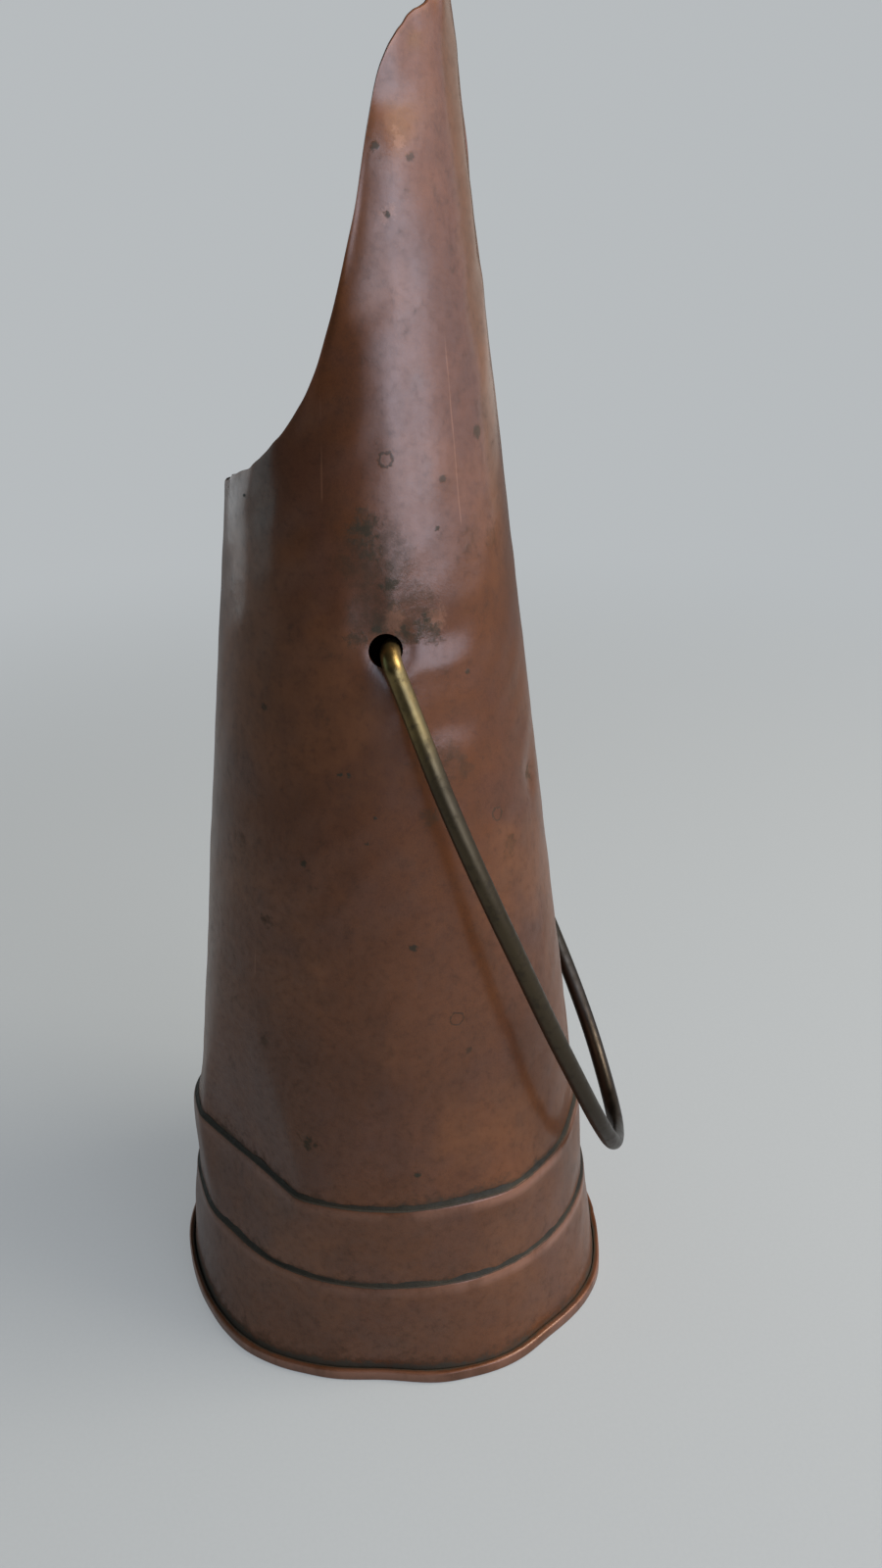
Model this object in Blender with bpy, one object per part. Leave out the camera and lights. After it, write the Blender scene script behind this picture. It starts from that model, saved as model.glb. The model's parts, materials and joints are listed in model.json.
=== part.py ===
"""Copper pouring can with a wire bail, as separate pieces that come apart on a bench.

Metres, +Z up. The origin is the centre of the base's underside, and +X points to the tall
pouring lip. The bail swings about an axis parallel to Y.

Pieces: body_shell, upper_base_band, lower_base_band, base_plate, base_solder_seam, bail_handle.
"""

import math

import bmesh
import bpy
from mathutils import Vector

MM = 0.001

# Sheet metal
SHEET = 0.8 * MM
COLUMNS = 72                     # facets round every turned piece

# Body cone: outer radius where it meets the upper band, and how fast it narrows going up
CONE_FOOT_RADIUS = 52.2 * MM
CONE_TAPER = 0.1206
CONE_LEAN = 0.0078               # the axis leans this much towards +X for each metre of height
CONE_ROWS = 14
BODY_BOTTOM = 42.0 * MM          # lower edge of the cone, hidden inside the upper band

# Two lapped bands round the base
UPPER_BAND_TOP = 51.8 * MM
UPPER_BAND_RADIUS = 53.4 * MM    # outer radius at its top
UPPER_BAND_FLARE = 0.026
UPPER_BAND_BOTTOM = 20.0 * MM    # hidden inside the lower band
LOWER_BAND_TOP = 28.8 * MM
LOWER_BAND_RADIUS = 55.1 * MM
LOWER_BAND_FLARE = 0.113
SHOULDER = 0.5 * MM              # rounding of each band's top edge
LAP = 0.3 * MM                   # room left between lapped sheets for the solder

# Base plate, its edge folded up and over the lower band's flange
FOOT_RADIUS = 60.0 * MM
FOLD = 0.75 * SHEET              # corner radius of the folded edge
FLANGE_BOTTOM = SHEET + LAP
FLANGE_TOP = FLANGE_BOTTOM + SHEET
FLANGE_EDGE = FOOT_RADIUS - FOLD - LAP
FLANGE_BEND = 0.3 * MM
LIP_HEIGHT = 3.4 * MM
LIP_WIDTH = 1.5 * MM
LIP_ROOM = 0.35 * MM             # between the flange and the lip folded over it
LIP_DROOP = 0.2 * MM
SOLDER_SIZE = 2.5 * MM
SOLDER_GAP = 0.4 * MM
SOLDER_HOLLOW = 0.35             # how far the fillet's face is drawn in, as a share of its size

# The base is knocked out of round. Each term is (waves, cosine share, sine share).
OUT_OF_ROUND = ((2, -0.006, -0.034), (3, -0.001, -0.014))
ROUND_AGAIN = 190.0 * MM         # above this height the cone is round

# Scoop mouth seen from the side: (x, z) from the low lip to the tip of the tall lip.
# It was cut by hand a few degrees off square to the bail's axis.
MOUTH_TURN = math.radians(-8.0)
MOUTH_OUTLINE = (
    (-34.0, 218.6), (-16.5, 229.2), (-5.6, 241.0), (0.4, 254.6), (6.4, 275.9),
    (9.7, 292.5), (12.3, 302.9), (16.8, 310.0), (26.0, 318.6),
)

# Bail holes and the wire that turns in them
HOLE_RADIUS = 3.7 * MM
HOLE_X = 6.2 * MM
HOLE_Z = 190.1 * MM
WIRE_RADIUS = 2.25 * MM
PIVOT_X = 7.2 * MM
PIVOT_Z = 189.5 * MM
BAIL_REST = math.radians(69.3)   # the bail hangs this far below level, on the tall lip's side
BAIL_HALF_WIDTH = 38.9 * MM
# Half of the bail from its bend to the middle of its loop: (distance from pivot, half width)
BAIL_OUTLINE = (
    (28.0, 43.9), (57.0, 46.7), (86.0, 44.0), (114.0, 39.3), (137.0, 33.0), (154.0, 21.0), (162.5, 0.0),
)
BEND_RADIUS = 4.0 * MM
HOOK_RADIUS = 3.0 * MM
HOOK_HALF_WIDTH = 28.5 * MM
HOOK_LENGTH = 3.5 * MM           # straight end of each hook inside the can

COPPER = (0.36, 0.145, 0.075)
COPPER_BASE = (0.33, 0.13, 0.07)
SOLDER = (0.30, 0.30, 0.29)
BRASS = (0.24, 0.18, 0.09)


def clear_scene():
    for thing in list(bpy.data.objects):
        bpy.data.objects.remove(thing, do_unlink=True)


def material(name, colour, roughness, metallic=1.0):
    made = bpy.data.materials.new(name)
    made.use_nodes = True
    shader = made.node_tree.nodes["Principled BSDF"]
    shader.inputs["Base Color"].default_value = (*colour, 1.0)
    shader.inputs["Roughness"].default_value = roughness
    shader.inputs["Metallic"].default_value = metallic
    made.diffuse_color = (*colour, 1.0)
    return made


def add_object(name, data, finish=None):
    thing = bpy.data.objects.new(name, data)
    bpy.context.scene.collection.objects.link(thing)
    if finish:
        data.materials.append(finish)
    return thing


def add_mesh(name, bm, finish):
    bmesh.ops.recalc_face_normals(bm, faces=bm.faces)
    mesh = bpy.data.meshes.new(name)
    bm.to_mesh(mesh)
    bm.free()
    mesh.shade_smooth()
    mesh.set_sharp_from_angle(angle=math.radians(35))
    return add_object(name, mesh, finish)


def smooth_path(points, steps=8, beyond=None):
    """Points along a Catmull-Rom curve through the given points, both ends included.

    The curve leaves its last point as if it went on towards the point beyond.
    """
    knots = [Vector(p) for p in points]
    after = Vector(beyond) if beyond else 2 * knots[-1] - knots[-2]
    knots = [2 * knots[0] - knots[1]] + knots + [after]
    path = []
    for a, b, c, d in zip(knots, knots[1:], knots[2:], knots[3:]):
        for i in range(steps):
            t = i / steps
            path.append(0.5 * (2 * b + (c - a) * t + (2 * a - 5 * b + 4 * c - d) * t ** 2
                               + (3 * b - a - 3 * c + d) * t ** 3))
    path.append(knots[-2])
    return path


def out_of_round(angle, z):
    """Factor on the radius: largest at the foot, gone where the cone is round again."""
    fade = max(0.0, 1.0 - z / ROUND_AGAIN)
    waves = sum(c * math.cos(n * angle) + s * math.sin(n * angle) for n, c, s in OUT_OF_ROUND)
    return 1.0 + fade * waves


def turned_point(radius, angle, z):
    reach = radius * out_of_round(angle, z)
    return Vector((reach * math.cos(angle) + CONE_LEAN * z, reach * math.sin(angle), z))


def column_angles():
    return [2 * math.pi * i / COLUMNS for i in range(COLUMNS)]


def turn(name, outline, finish):
    """Turns a closed outline of (radius, z) round Z. A radius of 0 becomes one centre point."""
    bm = bmesh.new()
    columns = []
    centres = {z: bm.verts.new((CONE_LEAN * z, 0, z)) for radius, z in outline if radius == 0}
    for angle in column_angles():
        columns.append([centres[z] if radius == 0 else bm.verts.new(turned_point(radius, angle, z))
                        for radius, z in outline])
    for here, there in zip(columns, columns[1:] + columns[:1]):
        for i in range(len(outline)):
            k = (i + 1) % len(outline)
            corners = list(dict.fromkeys((here[i], there[i], there[k], here[k])))
            if len(corners) > 2:
                bm.faces.new(corners)
    return add_mesh(name, bm, finish)


def cone_radius(z):
    if z < UPPER_BAND_TOP:
        return CONE_FOOT_RADIUS + UPPER_BAND_FLARE * (UPPER_BAND_TOP - z)
    return CONE_FOOT_RADIUS - CONE_TAPER * (z - UPPER_BAND_TOP)


def mouth_height(angle, path):
    """Height at which the cone's surface at this angle meets the mouth outline."""
    facing = Vector((math.cos(MOUTH_TURN), math.sin(MOUTH_TURN), 0))
    low, high = path[0].y, path[-1].y
    for _ in range(40):
        z = (low + high) / 2
        after = next(i for i in range(1, len(path)) if path[i].y >= z)
        a, b = path[after - 1], path[after]
        cut_x = a.x + (b.x - a.x) * (z - a.y) / (b.y - a.y)
        if turned_point(cone_radius(z), angle, z).dot(facing) > cut_x:
            low = z
        else:
            high = z
    return (low + high) / 2


def make_body_shell(finish):
    """Rolled copper cone with the scoop mouth and one hole in each side for the bail."""
    path = [p * MM for p in smooth_path(MOUTH_OUTLINE)]
    heights = [i / CONE_ROWS for i in range(CONE_ROWS + 1)]
    bm = bmesh.new()
    columns = []
    for angle in column_angles():
        top = mouth_height(angle, path)
        rows = [BODY_BOTTOM, UPPER_BAND_TOP]
        rows += [UPPER_BAND_TOP + (top - UPPER_BAND_TOP) * share for share in heights[1:]]
        outer = [bm.verts.new(turned_point(cone_radius(z), angle, z)) for z in rows]
        inner = [bm.verts.new(turned_point(cone_radius(z) - SHEET, angle, z)) for z in rows]
        columns.append(outer + inner[::-1])
    for here, there in zip(columns, columns[1:] + columns[:1]):
        for i in range(len(here)):
            k = (i + 1) % len(here)
            bm.faces.new((here[i], there[i], there[k], here[k]))
    body = add_mesh("body_shell", bm, finish)
    cut = body.modifiers.new("bail_holes", "BOOLEAN")
    cut.operation = "DIFFERENCE"
    cut.object = make_hole_cutter()
    return body


def make_hole_cutter():
    bpy.ops.mesh.primitive_cylinder_add(
        vertices=32, radius=HOLE_RADIUS, depth=2 * FOOT_RADIUS,
        location=(HOLE_X, 0, HOLE_Z), rotation=(math.pi / 2, 0, 0))
    cutter = bpy.context.object
    cutter.name = "bail_hole_cutter"
    cutter.hide_render = True
    cutter.display_type = "WIRE"
    return cutter


def band_top(radius, z):
    """Rounded top edge of a band, from its inside to its outside."""
    return [(radius - SHEET, z - SHOULDER), (radius - SHEET, z), (radius - SHOULDER, z),
            (radius - 0.3 * SHOULDER, z - 0.3 * SHOULDER), (radius, z - SHOULDER)]


def make_upper_band(finish):
    """Band soldered round the cone's foot. Its own foot is drawn out to fill the lower band."""
    waist = UPPER_BAND_RADIUS + UPPER_BAND_FLARE * (UPPER_BAND_TOP - LOWER_BAND_TOP)
    foot = waist + LOWER_BAND_FLARE * (LOWER_BAND_TOP - UPPER_BAND_BOTTOM) - LAP
    outline = band_top(UPPER_BAND_RADIUS, UPPER_BAND_TOP)
    outline += [(waist, LOWER_BAND_TOP), (foot, UPPER_BAND_BOTTOM)]
    outline += [(foot - SHEET, UPPER_BAND_BOTTOM), (waist - SHEET, LOWER_BAND_TOP)]
    return turn("upper_base_band", outline, finish)


def make_lower_band(finish):
    """Flared band with an outward flange that the base plate grips."""
    wall = LOWER_BAND_RADIUS + LOWER_BAND_FLARE * (LOWER_BAND_TOP - LIP_HEIGHT)
    outline = band_top(LOWER_BAND_RADIUS, LOWER_BAND_TOP) + [(wall, LIP_HEIGHT)]
    outline += [(wall + FLANGE_BEND, FLANGE_TOP + FLANGE_BEND), (wall + 2 * FLANGE_BEND, FLANGE_TOP)]
    outline += [(FLANGE_EDGE, FLANGE_TOP), (FLANGE_EDGE, FLANGE_BOTTOM), (wall - FLANGE_BEND, FLANGE_BOTTOM)]
    outline += [(wall - SHEET, FLANGE_BOTTOM + 2 * FLANGE_BEND), (wall - SHEET, LIP_HEIGHT)]
    return turn("lower_base_band", outline, finish)


def make_base_plate(finish):
    """Flat disc whose edge is folded up and over the lower band's flange."""
    inside = FOOT_RADIUS - FOLD
    lip_underside = FLANGE_TOP + LIP_ROOM
    lip_edge = FOOT_RADIUS - LIP_WIDTH
    outline = [(0, 0), (inside, 0), (FOOT_RADIUS, FOLD)]
    outline += [(FOOT_RADIUS, LIP_HEIGHT - FOLD), (inside, LIP_HEIGHT)]
    outline += [(lip_edge, LIP_HEIGHT - LIP_DROOP), (lip_edge, lip_underside)]
    outline += [(inside, lip_underside), (inside, SHEET), (0, SHEET)]
    return turn("base_plate", outline, finish)


def make_solder_seam(finish):
    """Fillet of soft solder run round the inside corner, which makes the can hold water."""
    wall = LOWER_BAND_RADIUS + LOWER_BAND_FLARE * (LOWER_BAND_TOP - LIP_HEIGHT)
    outer = wall - SHEET - SOLDER_GAP
    floor = SHEET + LAP
    face = SOLDER_HOLLOW * SOLDER_SIZE
    outline = [(outer, floor), (outer, floor + SOLDER_SIZE), (outer - face, floor + face)]
    outline += [(outer - SOLDER_SIZE, floor)]
    return turn("base_solder_seam", outline, finish)


def arc(centre, radius, start, end, steps):
    """Points on an arc in the bail's plane, as (distance from pivot, half width)."""
    angles = [start + (end - start) * i / steps for i in range(steps + 1)]
    return [(centre[0] + radius * math.cos(a), centre[1] + radius * math.sin(a)) for a in angles]


def bail_half():
    """One half of the wire's centre line, from its hooked end to the middle of the loop."""
    quarter = math.pi / 2
    hook_end = [(HOOK_RADIUS + HOOK_LENGTH, HOOK_HALF_WIDTH)]
    hook = arc((HOOK_RADIUS, HOOK_HALF_WIDTH + HOOK_RADIUS), HOOK_RADIUS, -quarter, -2 * quarter, 5)
    bend = arc((BEND_RADIUS, BAIL_HALF_WIDTH - BEND_RADIUS), BEND_RADIUS, 2 * quarter, quarter, 6)
    knots = [(BEND_RADIUS / MM, BAIL_HALF_WIDTH / MM)] + list(BAIL_OUTLINE)
    mirrored = (knots[-2][0], -knots[-2][1], 0)
    arm = smooth_path([(p[0], p[1], 0) for p in knots], steps=6, beyond=mirrored)
    return hook_end + hook + bend + [(p.x * MM, p.y * MM) for p in arm[1:]]


def make_bail(finish):
    """Round brass wire whose ends turn in through the holes. Its origin is on the hinge axis."""
    half = bail_half()
    near = [(along, -out, 0.0) for along, out in half]
    far = [(along, out, 0.0) for along, out in reversed(half[:-1])]
    curve = bpy.data.curves.new("bail_handle", "CURVE")
    curve.dimensions = "3D"
    curve.bevel_depth = WIRE_RADIUS
    curve.bevel_resolution = 3
    curve.render_resolution_u = 0
    curve.use_fill_caps = True
    line = curve.splines.new("POLY")
    line.points.add(len(near) + len(far) - 1)
    for knot, place in zip(line.points, near + far):
        knot.co = (*place, 1.0)
    line.use_smooth = True
    bail = add_object("bail_handle", curve, finish)
    bail.location = (PIVOT_X, 0, PIVOT_Z)
    bail.rotation_euler = (0, BAIL_REST, 0)
    return bail


def main():
    clear_scene()
    copper = material("copper_body", COPPER, 0.34)
    base_copper = material("copper_base", COPPER_BASE, 0.4)
    solder = material("soft_solder", SOLDER, 0.55)
    brass = material("brass_wire", BRASS, 0.35)
    make_body_shell(copper)
    make_upper_band(base_copper)
    make_lower_band(base_copper)
    make_base_plate(base_copper)
    make_solder_seam(solder)
    make_bail(brass)


main()
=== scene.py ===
"""Looks of the copper pouring can: dented sheet copper, grimy laps and a brass wire bail."""
import json
import math

import bpy
import numpy as np
from mathutils import Matrix, Vector


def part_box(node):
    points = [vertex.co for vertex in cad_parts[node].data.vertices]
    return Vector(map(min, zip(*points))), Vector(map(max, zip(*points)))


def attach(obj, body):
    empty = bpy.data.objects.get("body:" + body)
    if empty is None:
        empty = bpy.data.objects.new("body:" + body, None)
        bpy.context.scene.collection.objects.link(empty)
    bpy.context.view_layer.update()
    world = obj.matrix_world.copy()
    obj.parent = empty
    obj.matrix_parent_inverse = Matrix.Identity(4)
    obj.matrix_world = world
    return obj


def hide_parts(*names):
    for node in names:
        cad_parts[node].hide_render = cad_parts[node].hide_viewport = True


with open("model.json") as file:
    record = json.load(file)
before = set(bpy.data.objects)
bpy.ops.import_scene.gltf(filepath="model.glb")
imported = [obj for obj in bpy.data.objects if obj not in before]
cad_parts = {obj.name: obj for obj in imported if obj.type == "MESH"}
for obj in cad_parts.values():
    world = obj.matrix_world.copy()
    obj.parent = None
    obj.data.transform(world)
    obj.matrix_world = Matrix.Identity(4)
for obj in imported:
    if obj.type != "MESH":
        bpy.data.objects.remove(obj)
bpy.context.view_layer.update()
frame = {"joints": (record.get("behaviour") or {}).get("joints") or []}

MM = 0.001

# ---------------------------------------------------------------- sizes shared with the CAD

SHEET = 0.8 * MM
CONE_FOOT_RADIUS = 52.2 * MM       # outer radius where the cone meets the upper band
CONE_TAPER = 0.1206
CONE_LEAN = 0.0078                 # towards +X for each metre of height
BODY_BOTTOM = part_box("body_shell")[0].z

UPPER_BAND_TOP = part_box("upper_base_band")[1].z
UPPER_BAND_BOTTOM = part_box("upper_base_band")[0].z
UPPER_BAND_RADIUS = 53.4 * MM
UPPER_BAND_FLARE = 0.026
LOWER_BAND_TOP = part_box("lower_base_band")[1].z
LOWER_BAND_RADIUS = 55.1 * MM
LOWER_BAND_FLARE = 0.113
LAP = 0.3 * MM                     # room between lapped sheets

FOOT_RADIUS = 60.0 * MM
FOLD = 0.75 * SHEET                # corner radius of the base plate's folded edge
FLANGE_BOTTOM = SHEET + LAP
FLANGE_TOP = FLANGE_BOTTOM + SHEET
FLANGE_EDGE = FOOT_RADIUS - FOLD - LAP
FLANGE_BEND = 0.3 * MM
LIP_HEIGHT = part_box("base_plate")[1].z
LIP_WIDTH = 1.5 * MM
LIP_ROOM = 0.35 * MM
LIP_DROOP = 0.2 * MM
SOLDER_SIZE = 2.5 * MM
SOLDER_GAP = 0.4 * MM

# The base is knocked out of round. Each term is (waves, cosine share, sine share).
OUT_OF_ROUND = ((2, -0.006, -0.034), (3, -0.001, -0.014))
ROUND_AGAIN = 190.0 * MM           # above this height the cone is round

# Scoop mouth seen from the side: (x, z) in mm from the low lip to the tip of the tall lip
MOUTH_TURN = math.radians(-8.0)
MOUTH_OUTLINE = (
    (-34.0, 218.6), (-16.5, 229.2), (-5.6, 241.0), (0.4, 254.6), (6.4, 275.9),
    (9.7, 292.5), (12.3, 302.9), (16.8, 310.0), (26.0, 318.6),
)

HOLE_RADIUS = 3.7 * MM
HOLE_X = 6.2 * MM
HOLE_Z = 190.1 * MM
WIRE_RADIUS = 2.25 * MM
PIVOT = Vector(frame["joints"][0]["pos_m"])
BAIL_REST = math.radians(69.3)     # the bail hangs this far below level
BAIL_HALF_WIDTH = 38.9 * MM
# Half of the bail from its bend to the middle of its loop: (distance from pivot, half width) in mm
BAIL_OUTLINE = (
    (28.0, 43.9), (57.0, 46.7), (86.0, 44.0), (114.0, 39.3), (137.0, 33.0), (154.0, 21.0), (162.5, 0.0),
)
BEND_RADIUS = 4.0 * MM
HOOK_RADIUS = 3.0 * MM
HOOK_HALF_WIDTH = 28.5 * MM
HOOK_LENGTH = 3.5 * MM

# ---------------------------------------------------------------- knocks and dents

# Each knock: angle (deg), then in mm its height, half width, half height and push outward
KNOCKS = (
    (181, 46, 9, 12, 1.6),         # upper band pushed out under the low side of the mouth
    (182, 20, 10, 12, 0.8),
    (-55, 34, 30, 26, 0.9),        # base squeezed out at the bail's side
    (-54, 51, 7, 7, 0.8),
    (-20, 52, 9, 8, -1.0),
    (-105, 30, 16, 12, 0.5),
    (-128, 2, 20, 11, 2.2),        # foot knocked into blunt corners
    (-91, 1, 11, 9, -1.7),
    (-60, 1, 8, 8, 0.6),
    (-46, 1, 7, 8, -0.7),
    (-25, 1, 10, 9, 0.9),
    (130, 2, 14, 8, -1.2),
    (60, 2, 12, 9, 1.0),
    (-64, 193, 9, 5.5, -0.55),     # dent beside the near hole, with a ridge under it
    (-63, 186, 9, 2.4, 0.18),
    (-80, 201, 2.6, 8, 0.35),      # upright crease above the hole
    (-97, 197, 2.5, 6, 0.3),
    (-88, 197, 7, 9, -0.4),
    (-58, 172, 5, 4, -0.35),
    (-20, 151, 4, 5, -0.9),        # dent in the tall side
    (-31, 168, 10, 14, -0.35),
    (-64, 301, 3.6, 3.2, 0.4),     # bumps and hollows along the mouth's near edge
    (-66, 296, 6.5, 7.5, -0.42),
    (-70, 281, 7, 7.5, 0.4),
    (-83, 274, 4, 5, 0.35),
    (-74, 262, 7, 12, -0.35),
    (-86, 250, 5, 9, 0.25),
    (-67, 240, 3, 22, -0.22),
    (-71, 262, 2.2, 16, 0.16),     # long faint upright crease
    (-77, 236, 2.4, 14, 0.14),
    (-52, 308, 4, 3, -0.35),
    (-112, 232, 8, 8, -0.25),
    (-150, 205, 14, 16, -0.3),
    (60, 240, 9, 14, -0.45),
    (105, 160, 11, 9, -0.6),
    (150, 110, 16, 20, -0.5),
    (20, 95, 12, 10, -0.5),
    (75, 290, 5, 6, 0.35),
)

FACET_ANGLE = math.radians(-139)   # a flat knocked into the base on this side
FACET_DEPTH = 4.7 * MM
FACET_HEIGHT = UPPER_BAND_TOP
FACET_BELOW = 17 * MM
FACET_ABOVE = 30 * MM
FACET_BLEND = 0.35 * MM            # roundness of the corners where the flat begins
FACET_FADE = 6                     # it fades out where it is less deep than a sixth of its depth

SEAM_ANGLE = math.radians(148)     # lap seam of the rolled cone, on the far side
SEAM_WIDTH = 5.0 * MM
SEAM_STEP = 0.55 * MM
SEAM_EDGE = 0.2                    # where the upper sheet ends, in seam widths
SEAM_SOFT_SIDE = 14                # the lapped sheet rises slowly and ends sharply
SEAM_SHARP_SIDE = 60
SEAM_INSIDE = 0.6                  # share of the step that shows inside

HOLE_SIDE = 35.0 * MM              # half width of the body at the bail holes
HOLE_DRAWN_IN = 0.55 * MM
HOLE_DRAWN_WIDTH = 1.6 * MM

# Unevenness of each kind: height of its ripples, their length, seed
SHEET_WAVES = (0.13 * MM, 34 * MM, 3)
SHEET_RIPPLES = (0.05 * MM, 12 * MM, 8)
THIN_TOP_WAVES = (0.16 * MM, 15 * MM, 21)
MOUTH_WAVES = (0.28 * MM, 9 * MM, 5)
MOUTH_NICKS = (0.12 * MM, 3.5 * MM, 6)
MOUTH_ROLL = (0.22 * MM, 11 * MM, 14)
WIRE_BENDS = (0.35 * MM, 70 * MM, 17)
THIN_FROM = 225 * MM               # the tall lip is bent more easily from this height up
THIN_OVER = 60 * MM


def ripple(u, v, wavelength, seed):
    """Smooth unevenness between about -1 and 1, the same each run."""
    random = np.random.RandomState(seed)
    total = np.zeros(np.broadcast(u, v).shape)
    for _ in range(7):
        heading = random.uniform(0, 2 * math.pi)
        turns = 2 * math.pi / (wavelength * random.uniform(0.7, 1.6))
        shift = random.uniform(0, 6.3)
        total += np.sin(turns * (u * math.cos(heading) + v * math.sin(heading)) + shift)
    return total / 3.2


def uneven(kind, u, v=0):
    """Ripples of one kind at the places u, v."""
    size, wavelength, seed = kind
    return size * ripple(u, v, wavelength, seed)


def wrap(angle):
    """The same angle between minus and plus half a turn."""
    return (angle + math.pi) % (2 * math.pi) - math.pi


def bump(angle, z, radius, knock):
    """Outward push of one knock, fading out like a bell."""
    degrees, height, half_width, half_height, push = knock
    across = wrap(angle - math.radians(degrees)) * radius / (half_width * MM)
    up = (z - height * MM) / (half_height * MM)
    return push * MM * np.exp(-across ** 2 - up ** 2)


def facet(angle, z, radius):
    """How far the flattened side is pushed in: a plane cut off the round, with soft corners."""
    spread = np.where(z < FACET_HEIGHT, FACET_BELOW, FACET_ABOVE)
    depth = FACET_DEPTH * np.exp(-((z - FACET_HEIGHT) / spread) ** 2)
    plane = radius * out_of_round(FACET_ANGLE, z) - depth
    limit = plane / np.maximum(np.cos(wrap(angle - FACET_ANGLE)), 0.5)
    over = radius * out_of_round(angle, z) - limit
    fade = np.clip(FACET_FADE * depth / FACET_DEPTH, 0, 1)
    return -FACET_BLEND * np.logaddexp(0, over / FACET_BLEND) * fade


def seam(angle, radius):
    """Outward step of the cone's lap seam."""
    across = wrap(angle - SEAM_ANGLE) * radius / SEAM_WIDTH
    rise = 1 / (1 + np.exp(-(across + 1) * SEAM_SOFT_SIDE))
    fall = 1 / (1 + np.exp((across - SEAM_EDGE) * SEAM_SHARP_SIDE))
    return SEAM_STEP * rise * fall


def hole_edge(angle, z, radius):
    """The sheet is drawn in slightly round each bail hole."""
    away = np.full(np.broadcast(angle, z).shape, FOOT_RADIUS)
    for side in (-1, 1):
        hole_angle = math.atan2(side * HOLE_SIDE, HOLE_X)
        across = wrap(angle - hole_angle) * radius
        away = np.minimum(away, np.hypot(across, z - HOLE_Z))
    return -HOLE_DRAWN_IN * np.exp(-(np.maximum(away - HOLE_RADIUS, 0) / HOLE_DRAWN_WIDTH) ** 2)


def knocked(angle, z, radius):
    """Outward push of the old sheet at this place, from all its dents and unevenness."""
    around = angle * radius
    push = uneven(SHEET_WAVES, around, z * 0.6) + uneven(SHEET_RIPPLES, around, z)
    push = push + np.clip((z - THIN_FROM) / THIN_OVER, 0, 1) * uneven(THIN_TOP_WAVES, around, z)
    for knock in KNOCKS:
        push = push + bump(angle, z, radius, knock)
    return push + facet(angle, z, radius)


def out_of_round(angle, z):
    """The radius at this angle and height, as a share of a perfect circle's."""
    fade = np.maximum(0.0, 1.0 - z / ROUND_AGAIN)
    waves = sum(c * np.cos(n * angle) + s * np.sin(n * angle) for n, c, s in OUT_OF_ROUND)
    return 1.0 + fade * waves


def surface(radius, angle, z, extra=0.0):
    """Points on the old, dented surface whose perfect radius is given."""
    reach = radius * out_of_round(angle, z) + knocked(angle, z, radius) + extra
    return np.stack([reach * np.cos(angle) + CONE_LEAN * z, reach * np.sin(angle), z + 0 * angle], axis=-1)


def cone_radius(z):
    """Outer radius of the cone. Its foot flares with the upper band, inside it."""
    below = CONE_FOOT_RADIUS + UPPER_BAND_FLARE * (UPPER_BAND_TOP - z)
    return np.where(z < UPPER_BAND_TOP, below, CONE_FOOT_RADIUS - CONE_TAPER * (z - UPPER_BAND_TOP))


def place(degrees, height_mm):
    """Point on the cone's outside, for stains."""
    angle, z = np.array(math.radians(degrees)), np.array(height_mm * MM)
    return Vector(surface(cone_radius(z), angle, z))


# ---------------------------------------------------------------- mesh building

SHARP_FROM = 32                    # edges that turn by more degrees than this stay sharp


def smooth_path(points, steps, beyond=None):
    """Points along a Catmull-Rom curve through the given points, both ends included.

    The curve leaves its last point as if it went on towards the point beyond.
    """
    knots = [np.array(p, float) for p in points]
    after = np.array(beyond, float) if beyond else 2 * knots[-1] - knots[-2]
    knots = [2 * knots[0] - knots[1]] + knots + [after]
    path = []
    for a, b, c, d in zip(knots, knots[1:], knots[2:], knots[3:]):
        for i in range(steps):
            t = i / steps
            path.append(0.5 * (2 * b + (c - a) * t + (2 * a - 5 * b + 4 * c - d) * t ** 2
                               + (3 * b - a - 3 * c + d) * t ** 3))
    path.append(knots[-2])
    return np.array(path)


def mesh_object(name, points, faces, marks, smooth_angle=SHARP_FROM):
    """Makes an object. marks are named numbers, one for each point, which the materials read."""
    mesh = bpy.data.meshes.new(name)
    mesh.from_pydata(points.tolist(), [], faces)
    for key, values in marks.items():
        layer = mesh.attributes.new(key, "FLOAT", "POINT")
        layer.data.foreach_set("value", np.ascontiguousarray(values, dtype=np.float32).ravel())
    mesh.update()
    mesh.shade_smooth()
    mesh.set_sharp_from_angle(angle=math.radians(smooth_angle))
    thing = bpy.data.objects.new(name, mesh)
    bpy.context.scene.collection.objects.link(thing)
    return thing


def ring_mesh(name, rings, marks):
    """Closed skin from an array of points (columns, ring points, xyz) that closes both ways."""
    columns, count = rings.shape[:2]
    index = np.arange(columns * count).reshape(columns, count)
    right = np.roll(index, -1, axis=0)
    quads = np.stack([index, right, np.roll(right, -1, axis=1), np.roll(index, -1, axis=1)], axis=-1)
    points = rings.reshape(-1, 3)
    quads = quads.reshape(-1, 4)
    a, b, c = (points[quads[:, k]] for k in (0, 1, 2))
    if np.einsum("ij,ij->", a, np.cross(b, c)) < 0:
        quads = quads[:, ::-1]
    spread_marks = {key: np.broadcast_to(values, (columns, count)) for key, values in marks.items()}
    return mesh_object(name, points, quads.tolist(), spread_marks)


def column_angles(columns):
    """Angles of the columns, as a column of numbers that heights and radii spread across."""
    return np.arange(columns)[:, None] * (2 * math.pi / columns)


# ---------------------------------------------------------------- the body

BODY_COLUMNS = 336
BODY_ROWS = 176
ROW_CROWDING = 0.93                # a little under 1 puts more rows near the mouth
MOUTH_RADIUS = 28.0 * MM           # rough radius at the mouth, for ripples along its edge
RIM_BEVEL = 0.22 * MM
RIM_GLINT = 0.7 * MM               # width of the brighter copper along the raw edge
ROLL_FADE = 3.5 * MM
FAR_LIP_ANGLE = math.radians(150)  # the far side of the low lip is filed down a little
FAR_LIP_SPREAD = math.radians(24)
FAR_LIP_DROP = 1.6 * MM

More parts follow.
